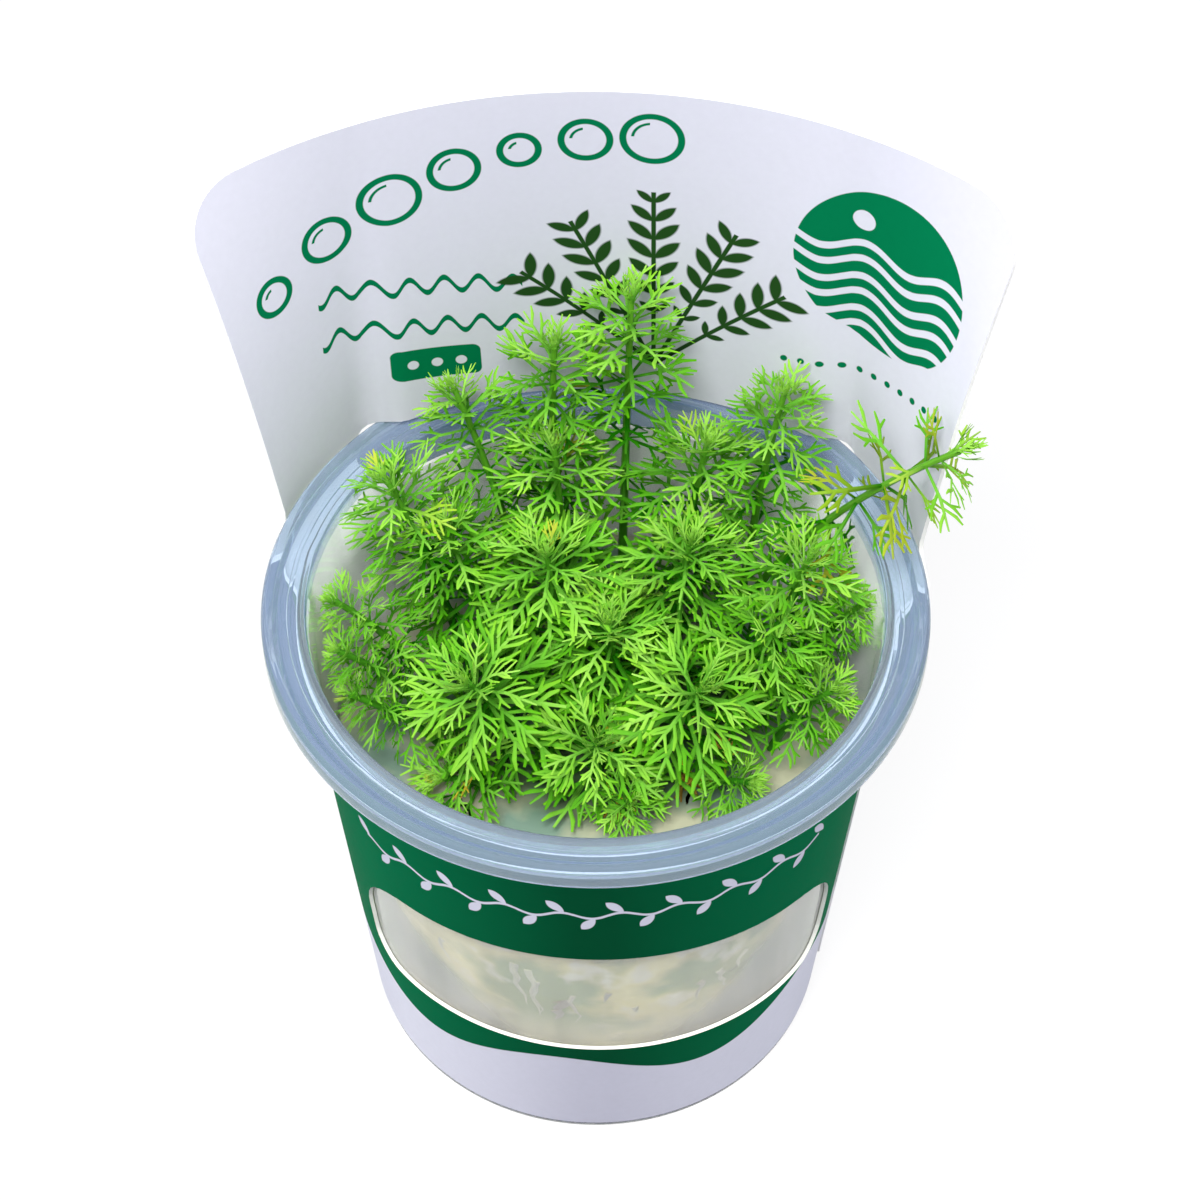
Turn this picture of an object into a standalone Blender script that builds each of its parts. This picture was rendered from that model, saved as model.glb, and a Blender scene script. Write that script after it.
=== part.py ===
"""A tissue-culture cup of a feathery-leaved aquarium plant, without its lid.

Metres, +Z up. The origin is the middle of the cup's flat bottom. +Y is the back, where the card's
header stands up behind the plants, and -Y is the front, where the card has its window.
Angles round the cup are in degrees from the back, growing towards +X.
"""

import math

import bmesh
import bpy
from mathutils import Vector

MM = 0.001
GAP = 0.3 * MM  # left between pieces that touch

RIM_RADIUS = 47.5 * MM
RIM_TOP = 85.6 * MM
SKIRT_FOOT = 82.0 * MM
SKIRT_INSIDE = 46.6 * MM
BOTTOM_RADIUS = 34.58 * MM
WALL_SLOPE = 0.0865  # the wall's radius grows by this for each unit of height
WALL = 0.8 * MM
FLOOR_THICKNESS = 1.0 * MM
FOOT_RADIUS, FOOT_HEIGHT = 35.2 * MM, 0.7 * MM  # the ring that the cup stands on
CUP_SIDES = 48

GEL_LEVEL = 54.0 * MM
MENISCUS = 1.2 * MM

CARD = 0.4 * MM
CARD_FOOT = 1.3 * MM
SLEEVE_TOP = 81.6 * MM
HEADER_BASE = 85.4 * MM
HEADER_HEIGHT = 59.4 * MM
HEADER_HALF_WIDTH = 54.8 * MM  # along the card, where it passes the rim
HEADER_EDGE_SLOPE = 0.115
HEADER_CORNER = 8.7 * MM
HEADER_TOP_RADIUS = 433 * MM
HEADER_CURL = 98 * MM  # the header's radius in plan, near its top
HEADER_CURL_HEIGHT = 57 * MM
HEADER_FACE_TOP = 40.5 * MM  # how far back its middle stands, near its top
HEADER_OFFSET = 0.5 * MM  # the header stands a little to the right
HEADER_TURN_LOW, HEADER_TURN_HIGH = 2.8, 1.2  # degrees that it has slipped round, at neck and top
NECK_RADIUS = 47.9 * MM  # the card's inside where it passes round the rim
NECK_CURL = 59 * MM  # the flatter arc on which it passes over the rim, at the slot
NECK_DEPTH = 40.5 * MM  # how far back that arc's middle is
NECK_TURN_START, NECK_TURN_END = 42, 50  # degrees over which it steps out round the rim
NECK_FILLET = 4 * MM
SLOT_HALF_ANGLE = 52
SLOT_LOW, SLOT_HIGH = 77.0 * MM, 86.0 * MM
SLOT_TOP_CORNER, SLOT_LOW_CORNER = 4.4 * MM, 3 * MM
MM_PER_DEGREE = HEADER_HALF_WIDTH / 74  # scale of the flat blank along the girth
LAP_START, LAP_END = 84, 96  # the glued lap, outside the wall of the sleeve
SHEET_START = LAP_START - 360
LAP_EASE = 6  # degrees over which the card climbs onto the lap
FLARE_START, FLARE_RISE = 73 * MM, 9 * MM  # the sleeve swells out here to pass round the rim
FLARE_END_ANGLE, FLARE_EASE = 90, 11
TUCK_START = 79 * MM  # and at the back it is drawn in behind the rim from here
TURN_START, TURN_RISE = 58 * MM, 24 * MM

WINDOW_CENTRE = -182.2  # degrees: the front, a little off its middle
WINDOW_WIDTH, WINDOW_HEIGHT = 94 * MM, 27.6 * MM
WINDOW_MIDDLE = 39.6 * MM
WINDOW_TOP_CORNER, WINDOW_LOW_CORNER = 13.5 * MM, 7 * MM
WINDOW_TOP_BEND, WINDOW_LOW_BEND = 165 * MM, 360 * MM  # its long edges drop towards their ends
WINDOW_TILT = 0.03

STEM_RADIUS = 0.65 * MM
STEM_SIDES = 6
BORE_RADIUS = STEM_RADIUS + 0.36 * MM
STEM_RUNGS = 6
CARD_ROOM = 3 * MM  # kept between leaves and header
WALL_ROOM = 0.9 * MM  # kept between leaves and the cup's wall
RIM_INSIDE = 41 * MM

# Each shoot: foot on the gel (x, y), tip (x, y, z), reach of its leaves, the part of its length
# that is bare, and how much of the way to the tip it has leaned over at mid-height, in mm.
SHOOTS = (
    ((4, 29), (5, 33, 112), 8.5, 0.40, 0.45),
    ((-7, 27), (-6, 29.5, 106), 8.5, 0.35, 0.45),
    ((-10, 22), (-20.5, 29, 98), 7.5, 0.45, 0.35),
    ((-20, 14), (-30, 18, 90), 9, 0.35, 0.35),
    ((-4, 19), (-6, 22, 93), 9, 0.35, 0.45),
    ((22, 23), (27, 26, 100), 8, 0.40, 0.35),
    ((12, 21), (16, 24, 91), 9.5, 0.35, 0.40),
    ((18, 14), (50, 6, 110), 8, 0.62, 0.22),
    ((-14, 10), (-22, 14, 84), 10, 0.35, 0.35),
    ((-5, 9), (-7, 9, 84), 11, 0.30, 0.40),
    ((3, 2), (2, 1, 78), 10, 0.25, 0.40),
    ((-12, -3), (-18, -8, 76), 11, 0.25, 0.35),
    ((10, -4), (15, -9, 76), 11, 0.25, 0.35),
    ((19, 4), (26, -2, 80), 9, 0.30, 0.35),
    ((0, -8), (0, -12.5, 68), 10, 0.25, 0.40),
    ((25, 6), (30, 4.2, 88.6), 9, 0.35, 0.35),
    ((30, 8), (38, 2.5, 81), 5, 0.60, 0.30),
    ((-23, 5), (-37.5, 4, 80), 6, 0.55, 0.30),
    ((-22, 0), (-37, -2, 76), 6, 0.55, 0.30),
    ((-21, -5), (-35.5, -6, 71), 6, 0.55, 0.30),
    ((-15, -10), (-22, -14, 61.5), 8, 0.30, 0.40),
    ((4, -14), (5, -18, 61.5), 6, 0.35, 0.40),
    ((16, -10), (22, -15, 62), 6, 0.35, 0.40),
    ((26, -3), (34, -6, 72), 7, 0.45, 0.35),
    ((11, 11), (13.5, 11, 84), 10, 0.30, 0.40),
    ((2, 12), (4, 12, 72), 8, 0.35, 0.40),
)


def clear_scene():
    for obj in list(bpy.data.objects):
        bpy.data.objects.remove(obj)


def smooth_step(value):
    value = min(max(value, 0.0), 1.0)
    return value * value * (3 - 2 * value)


def material(name, colour, roughness, transmission=0.0, ior=1.45):
    made = bpy.data.materials.new(name)
    made.use_nodes = True
    shader = made.node_tree.nodes["Principled BSDF"]
    shader.inputs["Base Color"].default_value = (*colour, 1)
    shader.inputs["Roughness"].default_value = roughness
    shader.inputs["Metallic"].default_value = 0
    shader.inputs["Transmission Weight"].default_value = transmission
    shader.inputs["IOR"].default_value = ior
    made.diffuse_color = (*colour, 1)
    return made


def add_object(name, bm, finish):
    bmesh.ops.recalc_face_normals(bm, faces=bm.faces)
    if bm.calc_volume(signed=True) < 0:
        bmesh.ops.reverse_faces(bm, faces=bm.faces)
    mesh = bpy.data.meshes.new(name)
    bm.to_mesh(mesh)
    bm.free()
    mesh.shade_smooth()
    mesh.set_sharp_from_angle(angle=math.radians(35))
    mesh.materials.append(finish)
    obj = bpy.data.objects.new(name, mesh)
    bpy.context.scene.collection.objects.link(obj)
    return obj


def skin_rings(rings, first, last):
    """A closed skin over rings of equal count, drawn to a point at both of its ends."""
    bm = bmesh.new()
    loops = [[bm.verts.new(point) for point in ring] for ring in rings]
    tips = [bm.verts.new(first), bm.verts.new(last)]
    count = len(loops[0])
    for i in range(count):
        j = (i + 1) % count
        bm.faces.new((tips[0], loops[0][j], loops[0][i]))
        bm.faces.new((tips[1], loops[-1][i], loops[-1][j]))
        for low, high in zip(loops, loops[1:]):
            bm.faces.new((low[i], low[j], high[j], high[i]))
    return bm


def turned(profile, sides):
    """A turned solid from (radius, height) pairs, whose first and last lie on the axis."""
    angles = [math.tau * i / sides for i in range(sides)]
    rings = [
        [(radius * math.cos(angle), radius * math.sin(angle), height) for angle in angles]
        for radius, height in profile[1:-1]
    ]
    return skin_rings(rings, (0, 0, profile[0][1]), (0, 0, profile[-1][1]))


def wall_outside(height):
    return BOTTOM_RADIUS + WALL_SLOPE * height


def wall_inside(height):
    return wall_outside(height) - WALL


def make_cup():
    """The clear cup: a tapered wall, and a wide flat rim with a bead, a skirt and an inner lip."""
    bead = 0.8 * MM
    rim_underside = RIM_TOP - 2.0 * MM
    band = RIM_TOP - 1.0 * MM
    lip = RIM_TOP - 0.5 * MM
    profile = [
        (0, 0),
        (FOOT_RADIUS - GAP, 0),
        (FOOT_RADIUS, GAP),
        (FOOT_RADIUS, FOOT_HEIGHT),
        (wall_outside(FLOOR_THICKNESS), FLOOR_THICKNESS),
        (wall_outside(rim_underside), rim_underside),
        (SKIRT_INSIDE, rim_underside),
        (SKIRT_INSIDE, SKIRT_FOOT),
        (RIM_RADIUS, SKIRT_FOOT),
        (RIM_RADIUS, RIM_TOP - bead),
        (RIM_RADIUS - bead, RIM_TOP),
        (44.7 * MM, band),
        (42.3 * MM, band),
        (41.9 * MM, lip),
        (41.3 * MM, lip),
        (wall_inside(band), RIM_TOP - 2.4 * MM),
        (wall_inside(FLOOR_THICKNESS), FLOOR_THICKNESS),
        (0, FLOOR_THICKNESS),
    ]
    clear = material("clear_plastic", (0.86, 0.90, 0.95), 0.12, 0.9, 1.49)
    return add_object("cup", turned(profile, CUP_SIDES), clear)


def make_gel():
    """The clouded growing gel, which stands a little up the wall."""
    low = FLOOR_THICKNESS + GAP
    edge = GEL_LEVEL + MENISCUS
    profile = [
        (0, low),
        (wall_inside(low) - GAP, low),
        (wall_inside(edge) - GAP, edge),
        (wall_inside(GEL_LEVEL) - 1.6 * MM, GEL_LEVEL + 0.3 * MENISCUS),
        (wall_inside(GEL_LEVEL) - 4 * MM, GEL_LEVEL),
        (0, GEL_LEVEL),
    ]
    jelly = material("gel", (0.62, 0.63, 0.48), 0.25, 0.3, 1.34)
    return add_object("gel", turned(profile, CUP_SIDES), jelly)


def arc_points(centre, radius, start, end, count):
    steps = [start + (end - start) * i / count for i in range(count + 1)]
    return [
        (centre[0] + radius * math.cos(step), centre[1] + radius * math.sin(step)) for step in steps
    ]


def header_half_outline():
    """The header's right half in the flat blank, from the sleeve's top edge to the top middle."""
    slope = HEADER_EDGE_SLOPE
    stretch = math.hypot(1, slope)
    foot = HEADER_HALF_WIDTH + NECK_FILLET
    points = arc_points((foot, SLEEVE_TOP + NECK_FILLET), NECK_FILLET, -math.pi / 2, -math.pi, 4)
    top_centre = HEADER_BASE + HEADER_HEIGHT - HEADER_TOP_RADIUS
    start = HEADER_HALF_WIDTH - HEADER_CORNER * stretch
    rise = HEADER_BASE - top_centre
    a = 1 + slope * slope
    b = 2 * (slope * start + rise)
    c = start * start + rise * rise - (HEADER_TOP_RADIUS - HEADER_CORNER) ** 2
    height = (-b + math.sqrt(b * b - 4 * a * c)) / (2 * a)
    corner = (start + slope * height, HEADER_BASE + height)
    edge_angle = math.atan2(-slope, 1)
    top_angle = math.atan2(corner[1] - top_centre, corner[0])
    points += arc_points(corner, HEADER_CORNER, edge_angle, top_angle, 6)
    points += arc_points((0, top_centre), HEADER_TOP_RADIUS, top_angle, math.pi / 2, 8)[1:]
    return points


def rounded_rectangle(width, height, top_radius, low_radius):
    points = []
    for quarter, (left, down) in enumerate(((1, 1), (-1, 1), (-1, -1), (1, -1))):
        radius = top_radius if down > 0 else low_radius
        centre = (left * (width / 2 - radius), down * (height / 2 - radius))
        start = quarter * math.pi / 2
        points += arc_points(centre, radius, start, start + math.pi / 2, 4)
    return points


def window_outline():
    """A long rounded window, whose ends drop as they do on a card cut to fit a cone."""
    step = 5 * MM
    outline = rounded_rectangle(
        WINDOW_WIDTH, WINDOW_HEIGHT, WINDOW_TOP_CORNER, WINDOW_LOW_CORNER
    )
    bent = []
    for (x0, y0), (x1, y1) in zip(outline, outline[1:] + outline[:1]):
        count = max(1, round(math.hypot(x1 - x0, y1 - y0) / step))
        for i in range(count):
            x = x0 + (x1 - x0) * i / count
            y = y0 + (y1 - y0) * i / count
            share = y / WINDOW_HEIGHT + 0.5
            drop = share / WINDOW_TOP_BEND + (1 - share) / WINDOW_LOW_BEND
            height = WINDOW_MIDDLE + y - x * x * drop / 2 + WINDOW_TILT * x
            bent.append((WINDOW_CENTRE * MM_PER_DEGREE + x, height))
    return bent


def slot_outline():
    """The slot at the back, which the rim passes through."""
    width = 2 * SLOT_HALF_ANGLE * MM_PER_DEGREE
    middle = (SLOT_LOW + SLOT_HIGH) / 2
    outline = rounded_rectangle(width, SLOT_HIGH - SLOT_LOW, SLOT_TOP_CORNER, SLOT_LOW_CORNER)
    return [(x, middle + y) for x, y in outline]


def waste_outline():
    """What is cut away from the sheet over the sleeve, to leave the header standing."""
    half = header_half_outline()
    beyond = 5 * MM
    left = SHEET_START * MM_PER_DEGREE - beyond
    right = LAP_END * MM_PER_DEGREE + beyond
    top = HEADER_BASE + HEADER_HEIGHT + beyond
    header = [(-x, z) for x, z in half] + half[::-1][1:]
    outline = [(left, SLEEVE_TOP)] + [(x + HEADER_OFFSET, z) for x, z in header]
    outline.append((right, SLEEVE_TOP))
    return outline + [(right, top), (left, top)]


def prism(name, outline):
    """A cutter of this outline, through the flat sheet, which lies in the XZ plane."""
    bm = bmesh.new()
    face = bm.faces.new([bm.verts.new((x, -5 * MM, z)) for x, z in outline])
    raised = bmesh.ops.extrude_face_region(bm, geom=[face], use_keep_orig=True)["geom"]
    bmesh.ops.translate(
        bm, vec=(0, 10 * MM, 0), verts=[v for v in raised if isinstance(v, bmesh.types.BMVert)]
    )
    bmesh.ops.triangulate(bm, faces=[f for f in bm.faces if len(f.verts) > 4])
    cutter = add_object(name, bm, None)
    cutter.hide_render = True
    cutter.display_type = "WIRE"
    return cutter


def neck_radius(angle):
    """The card's inside at the rim: round the rim at its sides, drawn in flat at the back."""
    turn = math.radians(min(abs(angle), NECK_TURN_END))
    middle = NECK_CURL - NECK_DEPTH
    flat = math.sqrt(NECK_CURL**2 - (middle * math.sin(turn)) ** 2) - middle * math.cos(turn)
    step = (abs(angle) - NECK_TURN_START) / (NECK_TURN_END - NECK_TURN_START)
    return flat + (NECK_RADIUS - flat) * smooth_step(step)


def header_point(angle, height):
    """A point of the header's front face, on straight lines from the neck to the flatter top."""
    turn = math.radians(angle)
    low = Vector((math.sin(turn), math.cos(turn))) * neck_radius(angle)
    curl = angle * MM_PER_DEGREE / HEADER_CURL
    depth = HEADER_FACE_TOP - HEADER_CURL * (1 - math.cos(curl))
    high = Vector((HEADER_CURL * math.sin(curl), depth))
    point = low.lerp(high, (height - HEADER_BASE) / HEADER_CURL_HEIGHT)
    return Vector((point.x, point.y, height))


def sleeve_point(angle, height):
    """A point of the sleeve's inner face: on the cup's cone, and swelling out under the rim."""
    turn = math.radians(angle)
    radius = wall_outside(height) + GAP
    around = abs((angle + 180) % 360 - 180)
    swell = neck_radius(around) - radius
    if swell > 0:
        swell *= smooth_step((height - FLARE_START) / FLARE_RISE)
        swell *= smooth_step((FLARE_END_ANGLE - around) / FLARE_EASE)
    else:
        swell *= smooth_step((height - TUCK_START) / (HEADER_BASE - TUCK_START))
    radius += swell
    return Vector((radius * math.sin(turn), radius * math.cos(turn), height))


def card_point(across, height, depth):
    """Rolls a point of the flat card up: depth is its distance out from the card's inner face."""
    angle = across / MM_PER_DEGREE
    surface = header_point if height > HEADER_BASE else sleeve_point
    here = surface(angle, height)
    aside = surface(angle + 0.5, height) - here
    outward = Vector((-aside.y, aside.x, 0)).normalized()
    lap = smooth_step((angle - LAP_START) / LAP_EASE + 1) * (CARD + GAP)
    point = here + outward * (depth + lap)
    up_header = max(height - HEADER_BASE, 0) / HEADER_HEIGHT
    slip = HEADER_TURN_LOW + (HEADER_TURN_HIGH - HEADER_TURN_LOW) * up_header
    turn = math.radians(slip) * smooth_step((height - TURN_START) / TURN_RISE)
    return Vector(
        (
            point.x * math.cos(turn) + point.y * math.sin(turn),
            point.y * math.cos(turn) - point.x * math.sin(turn),
            height,
        )
    )


def flat_sheet():
    """The sheet before it is cut: columns every few degrees, rows only where the card bends."""
    rows = [CARD_FOOT, 40 * MM, 72 * MM, 75 * MM, 78 * MM, SLEEVE_TOP, HEADER_BASE, 94 * MM]
    rows += [106 * MM, 120 * MM, 134 * MM, HEADER_BASE + HEADER_HEIGHT + MM]
    columns = 62
    bm = bmesh.new()
    bmesh.ops.create_grid(bm, x_segments=columns, y_segments=len(rows) - 1, size=1)
    for vert in bm.verts:
        row = round((vert.co.y + 1) / 2 * (len(rows) - 1))
        angle = LAP_END + (SHEET_START - LAP_END) * (1 - vert.co.x) / 2
        vert.co = (angle * MM_PER_DEGREE, 0, rows[row])
    faces = list(bm.faces)
    raised = bmesh.ops.extrude_face_region(bm, geom=faces, use_keep_orig=True)["geom"]
    bmesh.ops.translate(
        bm, vec=(0, CARD, 0), verts=[v for v in raised if isinstance(v, bmesh.types.BMVert)]
    )
    return add_object("flat_card", bm, None)


def make_card():
    """One die-cut card: sleeve, window, slot and header, rolled round the cup and lapped."""
    sheet = flat_sheet()
    cutters = [
        prism("window_cut", window_outline()),
        prism("slot_cut", slot_outline()),
        prism("waste_cut", waste_outline()),
    ]
    for cutter in cutters:
        cut = sheet.modifiers.new(cutter.name, "BOOLEAN")
        cut.operation = "DIFFERENCE"
        cut.object = cutter
    bpy.context.view_layer.update()
    graph = bpy.context.evaluated_depsgraph_get()
    flat = bpy.data.meshes.new_from_object(sheet.evaluated_get(graph))
    bm = bmesh.new()
    bm.from_mesh(flat)
    bmesh.ops.remove_doubles(bm, verts=bm.verts, dist=0.02 * MM)
    for vert in bm.verts:
        vert.co = card_point(vert.co.x, vert.co.z, vert.co.y)
    bmesh.ops.triangulate(bm, faces=[f for f in bm.faces if len(f.verts) > 4])
    for helper in [sheet, *cutters]:
        bpy.data.objects.remove(helper)
    bpy.data.meshes.remove(flat)
    return add_object("card_sleeve", bm, material("card", (0.84, 0.85, 0.88), 0.5))


def stem_curve(shoot):
    """The middle line of a stem: a curve that leaves the gel almost upright."""
    foot, tip, _, _, lean = shoot
    start = Vector((*foot, 0)) * MM + Vector((0, 0, GEL_LEVEL + GAP))
    end = Vector(tip) * MM
    bend = start.lerp(end, lean)
    bend.z = start.z + 0.6 * (end.z - start.z)
    steps = [i / STEM_RUNGS for i in range(STEM_RUNGS + 1)]
    return [(1 - t) ** 2 * start + 2 * t * (1 - t) * bend + t * t * end for t in steps]


def stem_rings(curve, radii):
    """Six-sided rings square to the curve, turned as little as can be from one to the next."""
    rings = []
    side = Vector((1, 0, 0))
    for i, (point, radius) in enumerate(zip(curve, radii)):
        along = (curve[min(i + 1, len(curve) - 1)] - curve[max(i - 1, 0)]).normalized()
        side = (side - side.dot(along) * along).normalized()
        other = along.cross(side)
        angles = [math.tau * k / STEM_SIDES for k in range(STEM_SIDES)]
        rings.append(
            [point + radius * (math.cos(a) * side + math.sin(a) * other) for a in angles]
        )
    return rings


def nearest_on(curve, point):
    """The distance from a point to a curve's straight lengths."""
    found = 1.0
    for start, end in zip(curve, curve[1:]):
        run = end - start
        share = min(max((point - start).dot(run) / run.length_squared, 0), 1)
        found = min(found, (start + share * run - point).length)
    return found


def room_at(point, others, card_points):
    """How far leaves may reach from a stem here, clear of other shoots, the cup and the card."""
    out = math.hypot(point.x, point.y)
    room = [nearest_on(curve, point) / 2 - 0.2 * MM for curve in others]
    room += [(card - point).length - CARD_ROOM for card in card_points]
    if point.z < RIM_TOP:
        room.append(wall_inside(point.z) - out - WALL_ROOM)
    else:
        room.append(math.hypot(point.z - RIM_TOP, max(RIM_INSIDE - out, 0)) - 0.5 * MM)
    room.append(1.6 * (point.z - GEL_LEVEL - MENISCUS))
    return min(room)


def make_stem(number, curve):
    radii = [STEM_RADIUS] * len(curve)
    rings = stem_rings(curve, radii)
    green = material(f"stem_green_{number:02d}", (0.10, 0.24, 0.03), 0.45)
    bm = skin_rings(rings, curve[0], curve[-1])
    return add_object(f"stem_{number:02d}", bm, green)


def make_leaves(number, shoot, curve, others, card_points):
    """The whorls of one shoot as one closed mass that reaches their tips, bored for the stem."""
    _, _, reach, bare, _ = shoot
    first = max(1, round(bare * STEM_RUNGS))
    along = (curve[-1] - curve[-2]).normalized()
    leafy = curve[first:]
    outline = []
    for i, point in enumerate(leafy):
        share = 0.62 + 0.38 * math.sin(math.pi * (i + 0.6) / len(leafy))
        room = room_at(point, others, card_points)
        outline.append(max(min(reach * MM * share, room), BORE_RADIUS + 0.5 * MM))
    crown = 0.45 * min(reach * MM, outline[-1])
    top = curve[-1] + along * crown
    wide = stem_rings(curve, [0.0] * first + outline)[first:]
    bore = stem_rings(curve, [BORE_RADIUS] * len(curve))[first:]
    shift = along * (GAP + 0.06 * MM)
    bore.append([point + shift for point in bore[-1]])
    blind = curve[-1] + shift
    green = material(f"leaf_green_{number:02d}", (0.22, 0.48, 0.05), 0.5)
    bm = skin_rings(bore[::-1] + wide, blind, top)
    return add_object(f"leaves_{number:02d}", bm, green)


def make_plants():
    curves = [stem_curve(shoot) for shoot in SHOOTS]
    card_points = [
        card_point(angle * MM_PER_DEGREE, height * MM, 0)
        for angle in range(-78, 79, 6)
        for height in range(87, 143, 5)
    ]
    for i, (shoot, curve) in enumerate(zip(SHOOTS, curves)):
        others = curves[:i] + curves[i + 1 :]
        make_stem(i + 1, curve)
        make_leaves(i + 1, shoot, curve, others, card_points)


clear_scene()
make_cup()
make_gel()
make_card()
make_plants()
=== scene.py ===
import math
import random
import bmesh
import bpy
from mathutils import Matrix, Vector, noise


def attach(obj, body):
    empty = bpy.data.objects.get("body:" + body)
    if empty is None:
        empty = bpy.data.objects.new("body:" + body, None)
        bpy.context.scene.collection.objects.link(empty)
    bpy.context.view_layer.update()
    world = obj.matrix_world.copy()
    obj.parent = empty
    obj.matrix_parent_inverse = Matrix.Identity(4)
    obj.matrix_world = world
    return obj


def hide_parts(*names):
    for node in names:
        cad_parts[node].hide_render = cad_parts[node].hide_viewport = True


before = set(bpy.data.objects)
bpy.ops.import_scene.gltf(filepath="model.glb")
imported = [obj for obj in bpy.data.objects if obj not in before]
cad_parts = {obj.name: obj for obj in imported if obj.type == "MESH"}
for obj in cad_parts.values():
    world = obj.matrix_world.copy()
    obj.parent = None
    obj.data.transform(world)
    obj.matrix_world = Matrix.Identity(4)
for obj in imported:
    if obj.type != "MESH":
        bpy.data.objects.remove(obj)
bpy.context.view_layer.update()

# Photographer's table: a white sweep under soft boxes, with the camera looking down into the cup
# from in front. The sweep itself looks white, while the cup's clear plastic shows the dim blue-grey
# of the room that lies behind it.
MM = 0.001


class Amount:
    """A number that a finish works out at each point; sums with it add Math nodes."""

    def __init__(self, socket):
        self.socket = socket

    def work(self, operation, *others):
        made = node(self.socket.id_data, "Math", enumerate((self, *others)), operation=operation)
        return Amount(made.outputs[0])

    def __add__(self, other):
        return self.work("ADD", other)

    def __sub__(self, other):
        return self.work("SUBTRACT", other)

    def __rsub__(self, other):
        return self.work("MULTIPLY_ADD", -1.0, other)

    def __mul__(self, other):
        return self.work("MULTIPLY", other)

    def __truediv__(self, other):
        return self.work("DIVIDE", other)

    def __abs__(self):
        return self.work("ABSOLUTE")

    def between(self, low, high):
        return self.work("MAXIMUM", low).work("MINIMUM", high)

    def share(self, low, high):
        """0 at low, 1 at high, and straight in between."""
        inputs = {0: self, 1: low, 2: high}
        return Amount(node(self.socket.id_data, "MapRange", inputs).outputs[0])


def feed(socket, value):
    """Sets an input, or links it, where the value is an amount or another node's output."""
    if isinstance(value, Amount):
        value = value.socket
    if isinstance(value, bpy.types.NodeSocket):
        socket.id_data.links.new(value, socket)
    elif socket.type == "RGBA":
        socket.default_value = (*value, 1)
    else:
        socket.default_value = value


def node(tree, kind, inputs=(), **settings):
    made = tree.nodes.new("ShaderNode" + kind)
    for name, value in settings.items():
        setattr(made, name, value)
    for place, value in dict(inputs).items():
        feed(made.inputs[place], value)
    return made


def blend(tree, share, low, high):
    return node(tree, "Mix", {0: share, 6: low, 7: high}, data_type="RGBA").outputs[2]


def new_finish(name, roughness, **settings):
    """A new material, with its node tree, its shader and where each point of the piece lies."""
    made = bpy.data.materials.new(name)
    made.use_nodes = True
    shader = made.node_tree.nodes["Principled BSDF"]
    for socket, value in {"Roughness": roughness, **settings}.items():
        feed(shader.inputs[socket.replace("_", " ")], value)
    place = node(made.node_tree, "TexCoord").outputs["Object"]
    return made, made.node_tree, shader, place


def speckle(tree, place, scale, detail=2.0):
    """Soft noise from 0 to 1, with about `scale` patches to the metre."""
    return Amount(node(tree, "TexNoise", {0: place, "Scale": scale, "Detail": detail}).outputs[0])


# The camera stands where the photograph was taken from.
LENS, SENSOR = 100.445, 36
EYE = Vector((0, -0.303, 0.45118))
VIEW_RIGHT = Vector((0.999999, -0.000285, 0.001409))
VIEW_UP = Vector((-0.000679, 0.770309, 0.637670))
VIEW_BACK = Vector((-0.001267, -0.637670, 0.770308))
camera = bpy.data.objects.new("camera", bpy.data.cameras.new("camera"))
camera.data.lens, camera.data.sensor_width = LENS, SENSOR
camera.data.clip_start, camera.data.clip_end = 0.01, 20
turn = Matrix((VIEW_RIGHT, VIEW_UP, VIEW_BACK)).transposed().to_4x4()
camera.matrix_world = Matrix.Translation(EYE) @ turn
bpy.context.scene.collection.objects.link(camera)
bpy.context.scene.camera = camera
bpy.context.scene.view_settings.view_transform = "Standard"

# The room is dim in front of the cup and brighter behind it.
ROOM_IN_FRONT, ROOM_BEHIND = (0.12, 0.12, 0.14), (0.50, 0.51, 0.57)
BACKDROP = (0.985, 0.985, 0.99)
world = bpy.data.worlds.new("room")
world.use_nodes = True
bpy.context.scene.world = world
tree = world.node_tree
heading = node(tree, "SeparateXYZ", {0: node(tree, "TexCoord").outputs["Generated"]})
behind = Amount(heading.outputs[1]).share(-0.9, 0.2)
room = blend(tree, behind, ROOM_IN_FRONT, ROOM_BEHIND)
seen = node(tree, "LightPath").outputs["Is Camera Ray"]
feed(tree.nodes["Background"].inputs["Color"], blend(tree, seen, room, BACKDROP))
LAMPS_AIM = Vector((0, 0, 70 * MM))


def soft_box(name, place, width, height, watts):
    """A lamp as wide as a window, which the cup's plastic doesn't mirror."""
    lamp = bpy.data.lights.new(name, "AREA")
    lamp.shape, lamp.size, lamp.size_y, lamp.energy = "RECTANGLE", width, height, watts
    box = bpy.data.objects.new(name, lamp)
    turn = (LAMPS_AIM - Vector(place)).to_track_quat("-Z", "Y")
    box.matrix_world = Matrix.Translation(place) @ turn.to_matrix().to_4x4()
    box.visible_glossy = box.visible_transmission = False
    bpy.context.scene.collection.objects.link(box)


soft_box("overhead", (-0.1, -0.4, 0.85), 0.3, 0.3, 10.5)
soft_box("left_side", (-1.25, -0.15, 0.5), 0.5, 0.9, 4.8)
soft_box("right_side", (1.25, -0.15, 0.4), 0.5, 0.9, 4.2)

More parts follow.
